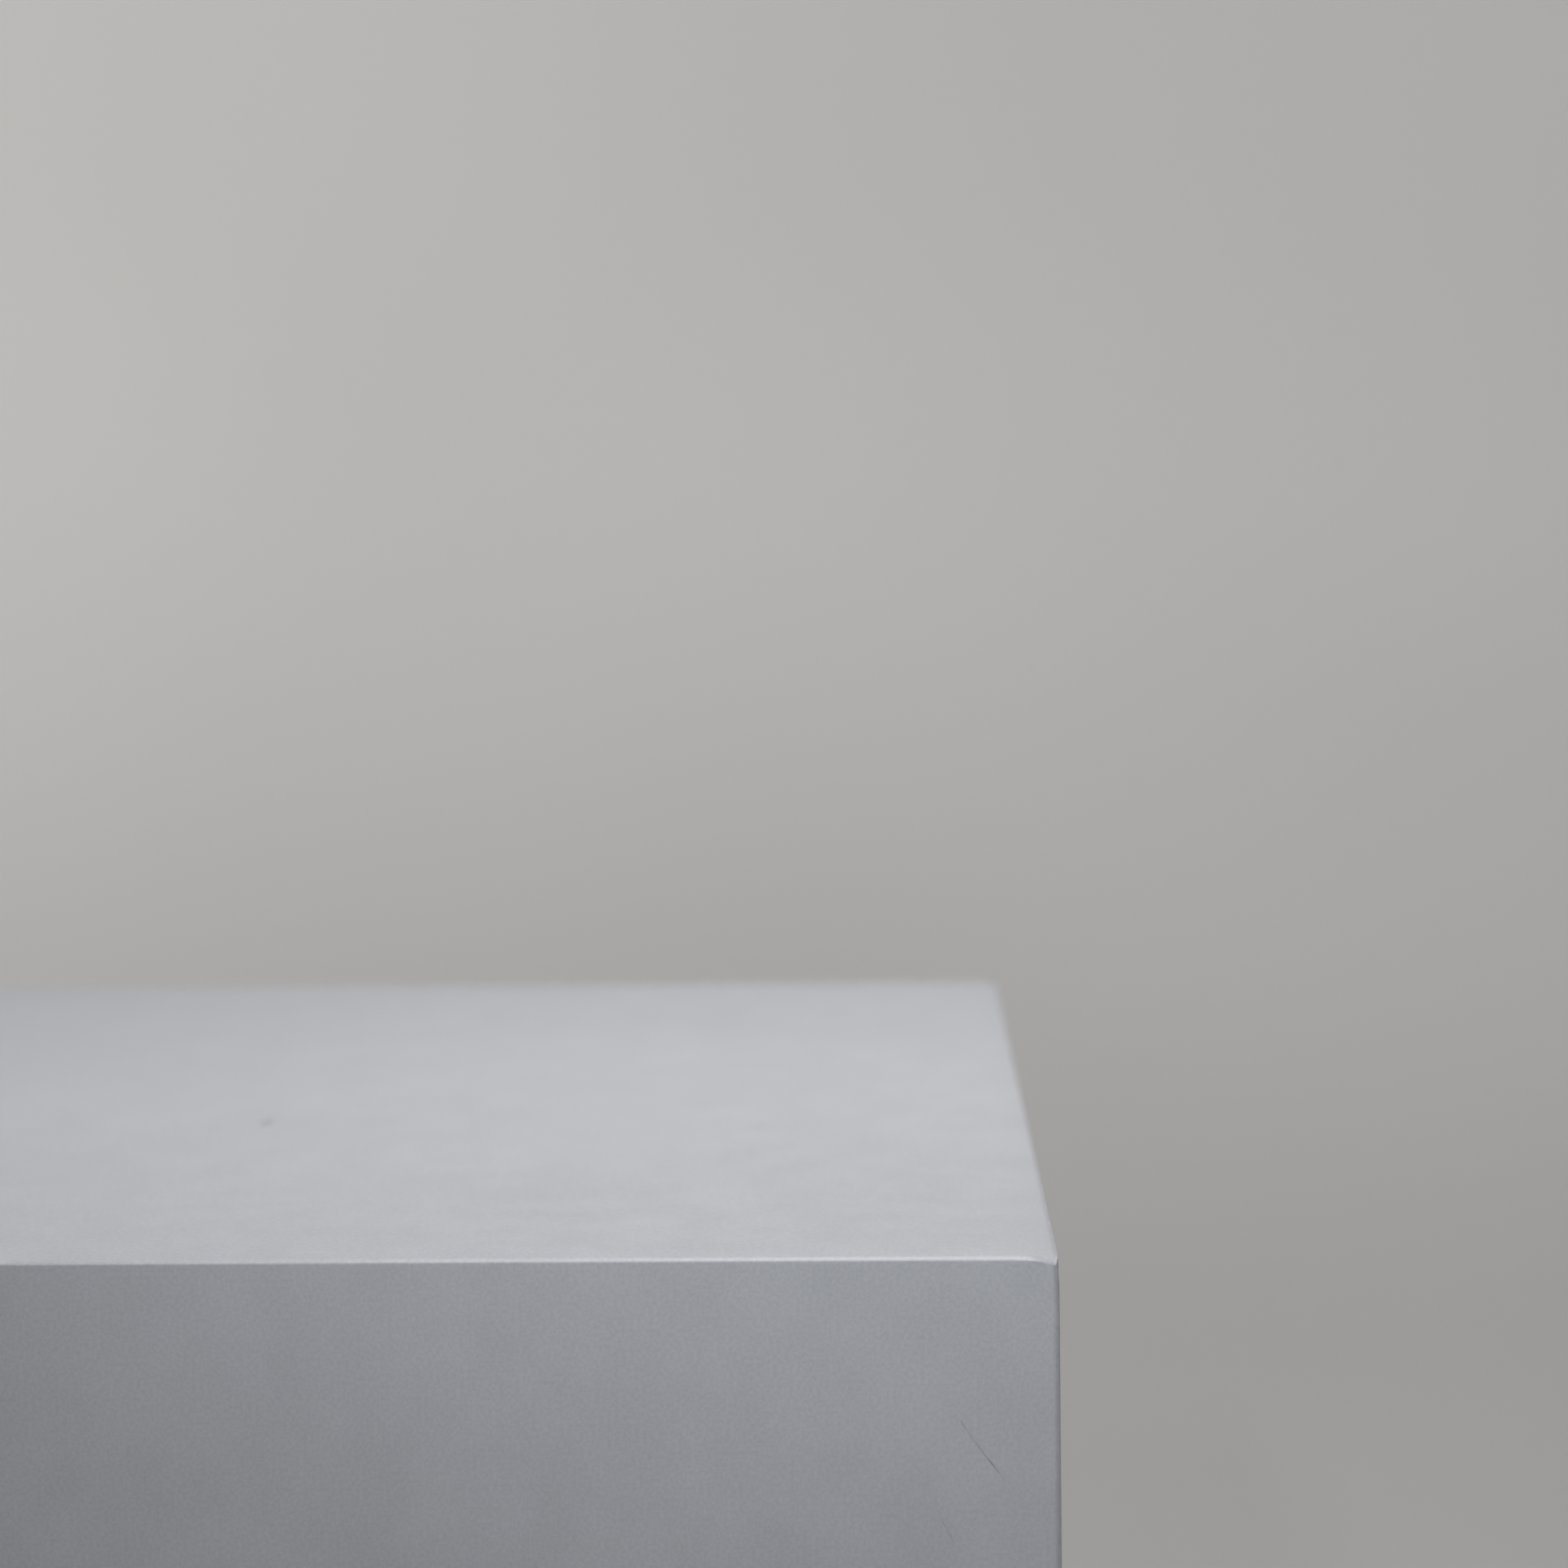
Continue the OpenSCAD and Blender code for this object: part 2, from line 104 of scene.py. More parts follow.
# The boards' grids: their longest and shortest step, and the steps over the rounded edges
GRID_STEP = 30 * MM
SHORTEST_STEP = 0.3 * MM
ARC_STEPS = 7
LOWER_ARC_STEPS = 4
FALL_LINES = (0.04, 0.09, 0.16, 0.24, 0.33, 0.43, 0.55, 0.7, 0.85, 1.0)  # shares of FALL_REACH
DENT_LINES = 7  # on each side of a dent's middle, a third of its radius apart
DEG45 = math.pi / 4

RNG = random.Random(11)
FOOT_CORNERS = ("front_left", "front_right", "back_right", "back_left")


# ---------- Dents ----------

def outer_edges():
    """The eight edges that people knock: four round the top and four uprights, as pairs of ends."""
    high = [Vector((x * HALF_W, y * HALF_D, TOP)) for x, y in ((-1, -1), (1, -1), (1, 1), (-1, 1))]
    low = [Vector((v.x, v.y, WALL_LOW)) for v in high]
    round_top = [(high[i], high[(i + 1) % 4]) for i in range(4)]
    return round_top + list(zip(low, high))


def make_dents():
    """Small knocks along the edges, as (place, radius, depth, bare).

    bare is 1 where the paint came off. The upper front right corner has its own knock, under the
    paint, and the edges near it have no others.
    """
    knock_place, knock_radius, knock_depth = Vector((-0.4, 0.4, -0.4)) * MM, 3.5 * MM, 0.75 * MM
    dents = [(CORNER + knock_place, knock_radius, knock_depth, 0.0)]
    clear_round_corner = 0.32
    dents_per_edge = 3
    for start, end in outer_edges():
        for _ in range(dents_per_edge):
            place = start.lerp(end, RNG.uniform(0.06, 0.94))
            radius = RNG.uniform(1.6, 4.5) * MM
            depth = radius * RNG.uniform(0.10, 0.18)
            bare = RNG.choice((0.0, 1.0))
            if (place - CORNER).length > clear_round_corner:
                dents.append((place, radius, depth, bare))
    return dents


DENTS = make_dents()


def dent_at(point):
    """How far the surface is knocked in at a point, and how much of that has lost its paint."""
    total, lost = 0.0, 0.0
    reach = 3  # in radii; past it a dent is too shallow to matter
    for place, radius, depth, bare in DENTS:
        share = (point - place).length / radius
        if share < reach:
            total += depth * math.exp(-share * share)
            lost += bare * depth * math.exp(-share * share)
    return total, lost


def fall(point):
    """How far the top lies below level at a point, near its edges."""
    near_x = max(0.0, 1 - (HALF_W - abs(point.x)) / FALL_REACH)
    near_y = max(0.0, 1 - (HALF_D - abs(point.y)) / FALL_REACH)
    return FALL_DEPTH * (near_x**3 + near_y**3)


def corner_drop(point):
    """How far the surface near an upper corner is taken down, on the top and on both walls."""
    in_x, in_y = HALF_W - abs(point.x), HALF_D - abs(point.y)
    away = math.hypot(in_x, CORNER_SQUEEZE * in_y) / CORNER_REACH
    below = (TOP - point.z) / CORNER_REACH
    return CORNER_DROP * max(0.0, 1 - away) ** 3 * max(0.0, 1 - below) ** 2


def sanding_depth(point, edge):
    """How much sanding took off; edge is 1 on an edge's middle line and 0 on a flat face."""
    wave = 0.5 + 0.5 * noise.noise(point / SANDING_SPACING)
    return SANDING_DEPTH * wave * edge * edge


# ---------- Boards ----------

class Face:
    """One outer face of the plinth: its outward, across and up directions, and its size."""

    def __init__(self, out, across, up, depth, half_across, up_low, up_high):
        self.out, self.across, self.up = Vector(out), Vector(across), Vector(up)
        self.depth = depth
        self.half_across = half_across
        self.up_low, self.up_high = up_low, up_high

    def at(self, across, up, out):
        return self.out * out + self.across * across + self.up * up


def grid_lines(low, high, dent_places):
    """Grid lines from low to high: even steps, closer across each dent and towards both ends."""
    count = max(1, math.ceil((high - low) / GRID_STEP))
    lines = [low + (high - low) * i / count for i in range(count)] + [high]
    lines += [low + FALL_REACH * s for s in FALL_LINES]
    lines += [high - FALL_REACH * s for s in FALL_LINES]
    for place, radius in dent_places:
        lines += [place + radius * k / 3 for k in range(-DENT_LINES, DENT_LINES + 1)]
    lines = sorted(x for x in lines if low <= x <= high)
    kept = [lines[0]]
    for x in lines[1:-1]:
        if x - kept[-1] > SHORTEST_STEP and high - x > SHORTEST_STEP:
            kept.append(x)
    return kept + [lines[-1]]


def near_dents(face, direction):
    """The dents on this face's own edges, as (place along direction, radius)."""
    found = []
    near = 3 * MM
    for place, radius, _, _ in DENTS:
        if abs(place.dot(face.out) - face.depth) < near:
            found.append((place.dot(direction), radius))
    return found


def round_end(place, sign):
    """Grid lines over a rounded edge, from its flat face to its mitre, as (place, angle, inset)."""
    return [(place, sign * DEG45 * i / ARC_STEPS, 0.0) for i in range(1, ARC_STEPS + 1)]


def lower_end(low):
    """Grid lines over a wall's broken lower edge, from its bottom up to its flat face."""
    turns = [2 * DEG45 * i / LOWER_ARC_STEPS for i in range(LOWER_ARC_STEPS, 0, -1)]
    return [(low - LOWER_EASE * math.sin(a), 0.0, LOWER_EASE * (1 - math.cos(a))) for a in turns]


def lines_across(face):
    """All grid lines across a face, from mitre to mitre, as (place, angle, inset)."""
    flat = face.half_across - EDGE_R
    inner = grid_lines(-flat, flat, near_dents(face, face.across))
    return round_end(-flat, -1)[::-1] + [(x, 0.0, 0.0) for x in inner] + round_end(flat, 1)


def lines_up(face, lower_mitre):
    """All grid lines up a face, as (place, angle, inset)."""
    high = face.up_high - EDGE_R
    low = face.up_low + (EDGE_R if lower_mitre else LOWER_EASE)
    first = round_end(low, -1)[::-1] if lower_mitre else lower_end(low)
    inner = grid_lines(low, high, near_dents(face, face.up))
    return first + [(x, 0.0, 0.0) for x in inner] + round_end(high, 1)


def outer_point(face, across, up):
    """A point of the worn skin, with how near it is to an edge and how much paint it has lost."""
    (s, s_angle, _), (t, t_angle, inset) = across, up
    tilt = face.across * math.tan(s_angle) + face.up * math.tan(t_angle)
    direction = (face.out + tilt).normalized()
    point = face.at(s, t, face.depth - EDGE_R) + direction * EDGE_R * (1 - inset / EDGE_R)
    edge = max(abs(s_angle), abs(t_angle)) / DEG45
    dent, lost = dent_at(point)
    worn = point - direction * (dent + sanding_depth(point, edge))
    worn.z -= fall(point) * max(0.0, direction.z) + corner_drop(point)
    return worn, edge, lost


def make_board(name, face, lower_mitre, materials):
    """A board with a rounded painted skin, mitred sides and a raw inner face, as one closed mesh.

    materials holds the paint and then the raw board.
    """
    across, up = lines_across(face), lines_up(face, lower_mitre)
    bm = bmesh.new()
    edge_layer = bm.verts.layers.float.new("edge")
    lost_layer = bm.verts.layers.float.new("lost")
    grid = []
    for line_up in up:
        row = []
        for line_across in across:
            point, edge, lost = outer_point(face, line_across, line_up)
            vert = bm.verts.new(point)
            vert[edge_layer] = edge
            vert[lost_layer] = lost / MM
            row.append(vert)
        grid.append(row)
    for lower, upper in zip(grid, grid[1:]):
        for i in range(len(across) - 1):
            skin = bm.faces.new((lower[i], lower[i + 1], upper[i + 1], upper[i]))
            skin.smooth = True
    inner_low = face.up_low + (BOARD if lower_mitre else 0.0)
    inner_high = face.up_high - BOARD
    inner_half = face.half_across - BOARD
    low_left, low_right, high_right, high_left = [
        bm.verts.new(face.at(s, t, face.depth - BOARD))
        for s, t in (
            (-inner_half, inner_low), (inner_half, inner_low),
            (inner_half, inner_high), (-inner_half, inner_high),
        )
    ]
    left, right = [row[0] for row in grid], [row[-1] for row in grid]
    rims = (
        grid[0][::-1] + [low_left, low_right],
        right[::-1] + [low_right, high_right],
        grid[-1] + [high_right, high_left],
        left + [high_left, low_left],
        [low_right, low_left, high_left, high_right],
    )
    for rim in rims:
        bm.faces.new(rim).material_index = 1
    bmesh.ops.recalc_face_normals(bm, faces=bm.faces)
    for edge in bm.edges:
        edge.smooth = all(f.smooth for f in edge.link_faces)
    return finish_mesh(name, bm, materials)


def finish_mesh(name, bm, materials):
    """Turns a bmesh into an object with these materials."""
    mesh = bpy.data.meshes.new(name)
    bm.to_mesh(mesh)
    bm.free()
    for material in materials:
        mesh.materials.append(material)
    piece = bpy.data.objects.new(name, mesh)
    bpy.context.scene.collection.objects.link(piece)
    return piece


# ---------- Materials ----------

class Graph:
    """A material's node tree. Lengths are in metres, in the frame's own space."""

    def __init__(self, name):
        self.material = bpy.data.materials.new(name)
        self.material.use_nodes = True
        self.tree = self.material.node_tree
        self.shader = self.tree.nodes["Principled BSDF"]
        self.place = self.add("ShaderNodeTexCoord").outputs["Object"]

    def add(self, kind, **settings):
        node = self.tree.nodes.new(kind)
        for key, value in settings.items():
            setattr(node, key, value)
        return node

    def feed(self, value, socket):
        if isinstance(value, bpy.types.NodeSocket):
            self.tree.links.new(value, socket)
        else:
            socket.default_value = value

    def math(self, operation, a, b=0.0, clamp=False):
        node = self.add("ShaderNodeMath", operation=operation, use_clamp=clamp)
        self.feed(a, node.inputs[0])
        self.feed(b, node.inputs[1])
        return node.outputs[0]

    def vector(self, operation, a, b=(0, 0, 0), scale=1.0):
        node = self.add("ShaderNodeVectorMath", operation=operation)
        self.feed(a, node.inputs[0])
        if operation == "SCALE":
            self.feed(scale, node.inputs["Scale"])
        elif operation != "LENGTH":
            self.feed(b, node.inputs[1])
        gives_number = operation in ("DOT_PRODUCT", "LENGTH")
        return node.outputs["Value" if gives_number else "Vector"]

    def part(self, vector, axis):
        node = self.add("ShaderNodeSeparateXYZ")
        self.feed(vector, node.inputs[0])
        return node.outputs[axis]

    def noise(self, size, detail=2.0, at=None, stretch=None):
        """Noise from 0 to 1, with features of about the given size, made longer by stretch."""
        at = at or self.place
        if stretch:
            at = self.vector("DIVIDE", at, stretch)
        node = self.add("ShaderNodeTexNoise")
        self.feed(at, node.inputs["Vector"])
        self.feed(1.0 / size, node.inputs["Scale"])
        self.feed(detail, node.inputs["Detail"])
        return node.outputs["Fac"]

    def wander(self, size, reach):
        """A vector that drifts by up to about the given reach, over places the given size apart."""
        node = self.add("ShaderNodeTexNoise")
        self.feed(self.place, node.inputs["Vector"])
        self.feed(1.0 / size, node.inputs["Scale"])
        centred = self.vector("SUBTRACT", node.outputs["Color"], (0.5, 0.5, 0.5))
        return self.vector("SCALE", centred, scale=2 * reach)

    def remap(self, value, low, high, to_low=0.0, to_high=1.0):
        node = self.add("ShaderNodeMapRange", interpolation_type="SMOOTHSTEP")
        for item, socket in zip((value, low, high, to_low, to_high), range(5)):
            self.feed(item, node.inputs[socket])
        return node.outputs[0]

    def mix(self, share, a, b):
        node = self.add("ShaderNodeMix", data_type="RGBA")
        self.feed(share, node.inputs["Factor"])
        self.feed(a, node.inputs[6])
        self.feed(b, node.inputs[7])
        return node.outputs[2]

    def shade(self, colour, amount):
        """The colour times a number."""
        return self.vector("SCALE", colour, scale=amount)

    def attribute(self, name):
        return self.add("ShaderNodeAttribute", attribute_name=name).outputs["Fac"]

    def bump(self, height, depth, under=None):
        """A bump of the given depth where height is 1, laid over another bump."""
        node = self.add("ShaderNodeBump")
        node.inputs["Strength"].default_value = 1.0
        self.feed(depth, node.inputs["Distance"])
        self.feed(height, node.inputs["Height"])
        if under:
            self.feed(under, node.inputs["Normal"])
        return node.outputs["Normal"]

    def finish(self, colour, roughness, normal=None, **others):
        self.feed(colour, self.shader.inputs["Base Color"])
        self.feed(roughness, self.shader.inputs["Roughness"])
        if normal:
            self.feed(normal, self.shader.inputs["Normal"])
        for key, value in others.items():
            self.feed(value, self.shader.inputs[key.replace("_", " ")])
        return self.material


def scratch_list():
    """Fine scratches as (start, end, width): two near the front's right edge, others scattered."""
    def on_front(in_from_right, down):
        return CORNER + Vector((-in_from_right, 0, -down)) * MM

    found = [
        (on_front(21.4, 35.6), on_front(12.1, 48.8), 0.19 * MM),
        (on_front(25.6, 57.3), on_front(21.6, 64.6), 0.17 * MM),
    ]
    scattered = 7
    for _ in range(scattered):
        angle = RNG.uniform(0, math.tau)
        length = RNG.uniform(8, 45) * MM
        start = Vector((0, 0, RNG.uniform(0.15, 0.8)))
        side = RNG.uniform(-0.8, 0.8)
        turn = RNG.choice((0, 1, 2, 3))
        start += Vector((side * HALF_W, -HALF_D, 0))
        end = start + Vector((math.cos(angle), 0, math.sin(angle))) * length
        spin = Matrix.Rotation(turn * math.pi / 2, 4, "Z")
        found.append((spin @ start, spin @ end, RNG.uniform(0.10, 0.2) * MM))
    return found


def scratch_mask(g):
    """1 on a scratch and 0 off it, by the distance to its line, with a slight wander and breaks."""
    at = g.vector("ADD", g.place, g.wander(9 * MM, 0.45 * MM))
    total = 0.0
    for start, end, width in scratch_list():
        line = end - start
        away = g.vector("SUBTRACT", at, tuple(start))
        along = g.vector("DOT_PRODUCT", away, tuple(line))
        along = g.math("MULTIPLY", along, 1 / line.length_squared, clamp=True)
        nearest = g.vector("SCALE", tuple(line), scale=along)
        distance = g.vector("LENGTH", g.vector("SUBTRACT", away, nearest))
        # thin at both ends
        taper = g.math("MULTIPLY", g.math("SUBTRACT", 1.0, along), along)
        reach = g.math("MULTIPLY", g.math("POWER", taper, 0.4), width * 3)
        total = g.math("MAXIMUM", total, g.remap(distance, reach, 0.0))
    return g.math("MULTIPLY", total, g.remap(g.noise(3 * MM), 0.35, 0.6, 0.3, 1.0))


PAINT = (0.394, 0.407, 0.442)
PRIMER = (0.62, 0.61, 0.58, 1.0)
BARE_EDGE = (0.50, 0.40, 0.29, 1.0)  # MDF showing through filler
SCUFF = (0.17, 0.165, 0.16, 1.0)
SCRATCH = (0.15, 0.15, 0.155, 1.0)
SMUDGE = (0.10, 0.10, 0.085, 1.0)
SMUDGE_PLACE = CORNER + Vector((-0.209, 0.2113, 0))
RAW_MDF = (0.36, 0.235, 0.125)
MDF_FLECK, MDF_CLOUD = (0.20, 0.12, 0.06, 1.0), (0.46, 0.33, 0.20, 1.0)
PINE_EARLY, PINE_LATE = (0.64, 0.43, 0.225, 1.0), (0.40, 0.215, 0.085, 1.0)
PINE_KNOT = (0.20, 0.10, 0.045, 1.0)
BIRCH_LIGHT, BIRCH_DARK = (0.66, 0.49, 0.30, 1.0), (0.50, 0.34, 0.185, 1.0)
PLY_LIGHT, PLY_DARK = (0.62, 0.45, 0.26, 1.0), (0.33, 0.20, 0.10, 1.0)
BEECH_LIGHT, BEECH_DARK = (0.52, 0.32, 0.17, 1.0), (0.27, 0.14, 0.07, 1.0)
ZINC_BLUE, ZINC_YELLOW = (0.66, 0.67, 0.70, 1.0), (0.70, 0.67, 0.58, 1.0)
NYLON_DARK, NYLON_LIGHT = (0.016, 0.016, 0.018, 1.0), (0.026, 0.026, 0.028, 1.0)
FELT_DARK, FELT_LIGHT = (0.055, 0.055, 0.058, 1.0), (0.21, 0.21, 0.215, 1.0)
BACKDROP_LIGHT, BACKDROP_DARK = (0.79, 0.775, 0.76, 1.0), (0.72, 0.705, 0.69, 1.0)
RING_WIDTH = 3.4 * MM

# The stage's walls glow softly, less towards the right and the floor
WALL_GLOW = 0.229
SHADE_RIGHT = 0.95  # the share lost from the middle to the right wall
GLOW_LOW, GLOW_HIGH = -0.9, 1.6  # the glow grows between these heights
# The stage is a round floor with a curve up into a wall
BOWL_FLOOR_R, BOWL_CURVE_R, BOWL_WALL_H = 5.0, 1.8, 6.0


def paint_material():
    """Satin grey paint, rolled on, with rubbed and chipped edges and scuffs near the floor."""
    g = Graph("grey_satin_paint")
    height = g.part(g.place, "Z")
    laps = g.noise(0.30, detail=3, stretch=(0.7, 0.7, 1.4))
    mottle = g.noise(14 * MM, detail=5)
    stipple = g.noise(0.85 * MM, detail=2)
    tone = g.remap(laps, 0.3, 0.7, 0.985, 1.01)
    tone = g.math("ADD", tone, g.remap(mottle, 0.25, 0.75, -0.026, 0.026))
    tone = g.math("ADD", tone, g.remap(stipple, 0.25, 0.75, -0.062, 0.062))
    colour = g.shade(PAINT, tone)
    # shoes, mops and trolleys mark the lowest part
    scuff_zone = g.remap(height, 0.17, 0.0)
    drifting = g.vector("ADD", g.place, g.wander(60 * MM, 12 * MM))
    streaks = g.remap(g.noise(7 * MM, detail=3, at=drifting, stretch=(7, 7, 1)), 0.56, 0.72)
    clusters = g.remap(g.noise(95 * MM, detail=2), 0.46, 0.62)
    grime = g.math("MULTIPLY", g.remap(g.noise(45 * MM, detail=4), 0.35, 0.75), 0.30)
    scuffs = g.math("ADD", g.math("MULTIPLY", streaks, clusters), grime)
    scuffs = g.math("MULTIPLY", scuff_zone, scuffs)
    colour = g.mix(g.math("MULTIPLY", scuffs, 0.42), colour, SCUFF)
    # hands rub the paint thin at a few places along the edges, and knocks chip it off
    edge = g.attribute("edge")
    thin_places = g.remap(g.noise(7 * MM, detail=5), 0.56, 0.72)
    rubbed = g.math("MULTIPLY", g.math("POWER", edge, 2.0), thin_places)
    colour = g.mix(g.math("MULTIPLY", rubbed, 0.35), colour, PRIMER)
    ragged_rim = g.math("MULTIPLY", g.noise(0.9 * MM), 0.12)
    chip = g.remap(g.math("ADD", g.attribute("lost"), ragged_rim), 0.30, 0.42)
    colour = g.mix(chip, colour, BARE_EDGE)
    marks = scratch_mask(g)
    colour = g.mix(g.math("MULTIPLY", marks, 0.62), colour, SCRATCH)
    from_smudge = g.vector("SUBTRACT", g.place, tuple(SMUDGE_PLACE))
    smudge_size = g.vector("LENGTH", g.vector("MULTIPLY", from_smudge, (0.7, 0.15, 1.0)))
    smudge = g.math("MULTIPLY", g.remap(smudge_size, 1.4 * MM, 0.5 * MM), 0.34)
    colour = g.mix(smudge, colour, SMUDGE)
    roughness = g.remap(laps, 0.3, 0.7, 0.47, 0.53)
    roughness = g.math("ADD", roughness, g.remap(mottle, 0.3, 0.7, -0.03, 0.03))
    roughness = g.math("ADD", roughness, g.math("MULTIPLY", chip, 0.3))
    normal = g.bump(g.noise(70 * MM, detail=2), 0.10 * MM)
    normal = g.bump(mottle, 0.05 * MM, normal)
    normal = g.bump(stipple, 0.04 * MM, normal)
    normal = g.bump(marks, -0.05 * MM, normal)
    return g.finish(colour, roughness, normal, Specular_IOR_Level=0.45)


def mdf_material():
    """Raw MDF: pressed brown fibre with pale and dark flecks."""
    g = Graph("raw_mdf")
    fibres = g.noise(0.8 * MM, detail=5, stretch=(2.5, 2.5, 1))
    flecks = g.remap(g.noise(2.2 * MM, detail=4), 0.62, 0.75)
    colour = g.shade(RAW_MDF, g.remap(fibres, 0.25, 0.75, 0.86, 1.12))
    colour = g.mix(g.math("MULTIPLY", flecks, 0.35), colour, MDF_FLECK)
    colour = g.mix(g.remap(g.noise(0.12), 0.35, 0.7, 0.0, 0.18), colour, MDF_CLOUD)
    return g.finish(colour, 0.85, g.bump(fibres, 0.08 * MM))


def softwood_material(axis):
    """Planed pine with growth rings round a line along the given axis, so ends show arcs."""
    g = Graph("pine_along_" + "xyz"[axis])
    stretch = [1.0, 1.0, 1.0]
    stretch[axis] = 14.0
    flat = [1.0, 1.0, 1.0]
    flat[axis] = 0.03
    at = g.vector("ADD", g.place, g.wander(0.09, 10 * MM))
    from_heart = g.vector("ADD", at, (0.065, 0.041, 0.057))
    radius = g.vector("LENGTH", g.vector("MULTIPLY", from_heart, tuple(flat)))
    ring = g.math("FRACT", g.math("DIVIDE", radius, RING_WIDTH))
    late = g.math("MULTIPLY", g.remap(ring, 0.25, 0.9), g.remap(ring, 1.0, 0.93))
    fibre = g.noise(0.9 * MM, detail=4, stretch=tuple(stretch))
    colour = g.mix(late, PINE_EARLY, PINE_LATE)
    colour = g.shade(colour, g.remap(fibre, 0.25, 0.75, 0.90, 1.08))
    knots = g.remap(g.noise(0.10, detail=1, stretch=tuple(stretch)), 0.76, 0.82)
    colour = g.mix(g.math("MULTIPLY", knots, 0.6), colour, PINE_KNOT)
    normal = g.bump(late, 0.04 * MM, g.bump(fibre, 0.05 * MM))
    return g.finish(colour, g.remap(fibre, 0.3, 0.7, 0.55, 0.7), normal)


def plywood_material(node, plies):
    """Birch plywood: pale grain on the flat faces, alternate light and dark plies on the edges."""
    low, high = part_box(node)
    g = Graph("birch_plywood_" + node)
    level = g.math("DIVIDE", g.math("SUBTRACT", g.part(g.place, "Z"), low.z), high.z - low.z)
    wobble = g.math("MULTIPLY", g.math("SUBTRACT", g.noise(0.05), 0.5), 0.02)
    ply = g.math("PINGPONG", g.math("MULTIPLY", g.math("ADD", level, wobble), float(plies)), 1.0)
    grain = g.noise(1.6 * MM, detail=5, stretch=(22, 1, 1))
    broad = g.noise(18 * MM, detail=3, stretch=(9, 1, 1))
    face_colour = g.mix(g.remap(grain, 0.35, 0.7), BIRCH_LIGHT, BIRCH_DARK)
    face_colour = g.shade(face_colour, g.remap(broad, 0.3, 0.7, 0.92, 1.06))
    edge_colour = g.mix(g.remap(ply, 0.42, 0.58), PLY_LIGHT, PLY_DARK)
    edge_colour = g.shade(edge_colour, g.remap(g.noise(1.2 * MM, detail=3), 0.3, 0.7, 0.9, 1.08))
    up = g.math("ABSOLUTE", g.part(g.add("ShaderNodeNewGeometry").outputs["Normal"], "Z"))
    colour = g.mix(g.remap(up, 0.4, 0.6), edge_colour, face_colour)
    return g.finish(colour, 0.6, g.bump(grain, 0.05 * MM))


def beech_material():
    """Compressed beech of the biscuits: short dark flecks on pink brown."""
    g = Graph("pressed_beech")
    flecks = g.noise(0.9 * MM, detail=3, stretch=(1, 1, 5))
    colour = g.mix(g.remap(flecks, 0.55, 0.7), BEECH_LIGHT, BEECH_DARK)
    return g.finish(colour, 0.7, g.bump(flecks, 0.06 * MM))


def zinc_material():
    """Bright zinc plate with a faint yellow to blue cast and dull patches."""
    g = Graph("zinc_plate")
    cloud = g.noise(6 * MM, detail=4)
    colour = g.mix(g.remap(cloud, 0.35, 0.65), ZINC_BLUE, ZINC_YELLOW)
    roughness = g.remap(cloud, 0.3, 0.7, 0.26, 0.42)
    fine = g.noise(0.35 * MM, detail=2)
    return g.finish(colour, roughness, g.bump(fine, 0.01 * MM), Metallic=1.0)


def nylon_material():
    """Moulded black nylon: a fine spark-eroded texture with a soft sheen."""
    g = Graph("black_nylon")
    texture = g.noise(0.35 * MM, detail=2)
    colour = g.mix(g.noise(8 * MM, detail=3), NYLON_DARK, NYLON_LIGHT)
    return g.finish(colour, g.remap(texture, 0.3, 0.7, 0.42, 0.56), g.bump(texture, 0.02 * MM))


def felt_material():
    """Grey needled felt: tangled fibres with light and dark hairs."""
    g = Graph("grey_felt")
    hairs = g.noise(0.5 * MM, detail=6, stretch=(2, 2, 0.8))
    colour = g.mix(g.remap(hairs, 0.35, 0.65), FELT_DARK, FELT_LIGHT)
    return g.finish(colour, 0.95, g.bump(hairs, 0.25 * MM), Sheen_Weight=0.4)


def backdrop_material():
    """A plain pale room: matt paint whose tone drifts softly, with walls that glow a little."""
    g = Graph("pale_backdrop")
    drift = g.noise(1.6, detail=1)
    colour = g.mix(drift, BACKDROP_LIGHT, BACKDROP_DARK)
    to_right = g.math("MULTIPLY", g.part(g.place, "X"), SHADE_RIGHT / (BOWL_FLOOR_R + BOWL_CURVE_R))
    glow = g.math("MULTIPLY", g.remap(g.part(g.place, "Z"), GLOW_LOW, GLOW_HIGH), WALL_GLOW)
    glow = g.math("MULTIPLY", glow, g.math("SUBTRACT", 1.0, to_right))
    normal = g.bump(g.noise(4 * MM, detail=3), 0.05 * MM)
    return g.finish(colour, 0.9, normal, Emission_Color=colour, Emission_Strength=glow)


# ---------- Pieces ----------

PAINTED = paint_material()
MDF = mdf_material()
PINE = {axis: softwood_material(axis) for axis in range(3)}
BEECH = beech_material()
ZINC = zinc_material()
NYLON = nylon_material()
FELT = felt_material()


def make_panels():
    """The four walls and the top, which stand for the plain CAD boards."""
    walls = ("front", "right", "back", "left")
    for turn, side in enumerate(walls):
        spin = Matrix.Rotation(turn * math.pi / 2, 3, "Z")
        depth, half = (HALF_D, HALF_W) if turn % 2 == 0 else (HALF_W, HALF_D)
        out, across = spin @ Vector((0, -1, 0)), spin @ Vector((1, 0, 0))
        face = Face(out, across, (0, 0, 1), depth, half, WALL_LOW, TOP)
        stand_in(make_board("painted_wall_" + side, face, False, (PAINTED, MDF)), side + "_panel")
    face = Face((0, 0, 1), (1, 0, 0), (0, 1, 0), TOP, HALF_W, -HALF_D, HALF_D)
    stand_in(make_board("painted_top", face, True, (PAINTED, MDF)), "top_panel")


def stand_in(piece, node):
    """Lets a piece stand for a CAD node: hides the node and puts the piece on the node's body."""
    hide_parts(node)
    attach(piece, frame["nodes"][node]["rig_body"])


